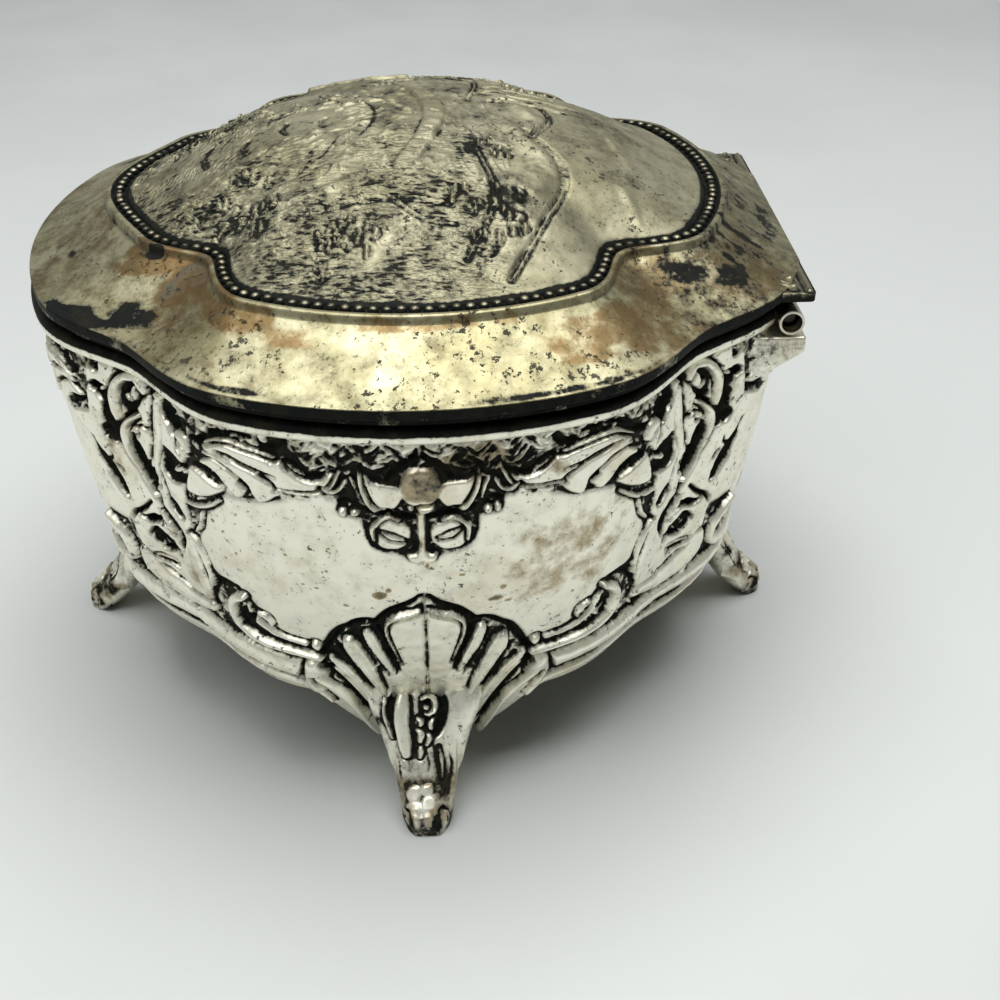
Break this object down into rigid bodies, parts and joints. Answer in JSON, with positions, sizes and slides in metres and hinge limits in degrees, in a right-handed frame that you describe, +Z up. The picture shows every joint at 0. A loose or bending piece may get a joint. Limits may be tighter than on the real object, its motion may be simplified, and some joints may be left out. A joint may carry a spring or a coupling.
{
  "type": "trinket box",
  "caption": "Four-lobed cast metal trinket box on cabriole feet, with a domed hinged lid, shell and scroll relief and a velvet-lined well.",
  "frame": {"origin": "middle of the box on the plane that the four feet stand on", "axes": "+Z up, +Y towards the hinge at the back, -Y towards the opening front, +X to the right seen from the front"},
  "size_m": [0.0864, 0.0864, 0.0647],
  "materials": {
    "silver_plate": "worn silver plate over a zinc alloy casting, dark patina in the hollows",
    "tarnished_plate": "tarnished silver plate with a brassy tone and dark pits",
    "floor_metal": "dull plated sheet",
    "card": "plain card, hidden under the pad",
    "velvet": "short-pile velvet, dark red",
    "hinge_tube": "plated thin-walled tube",
    "pin_steel": "drawn wire"
  },
  "bodies": {
    "box": {"box_body": "silver_plate", "floor_plate": "floor_metal", "floor_card": "card", "floor_pad": "velvet", "wall_lining": "velvet", "body_knuckle_1": "hinge_tube", "body_knuckle_2": "hinge_tube", "body_knuckle_3": "hinge_tube", "hinge_pin": "pin_steel"},
    "lid": {"lid_shell": "tarnished_plate", "lid_knuckle_1": "hinge_tube", "lid_knuckle_2": "hinge_tube"}
  },
  "joints": [
    {"name": "lid_hinge", "type": "hinge", "parent": "box", "child": "lid", "pos_m": [0, 0.0381, 0.0478], "axis": [-1, 0, 0], "range_deg": [0, 98]}
  ]
}
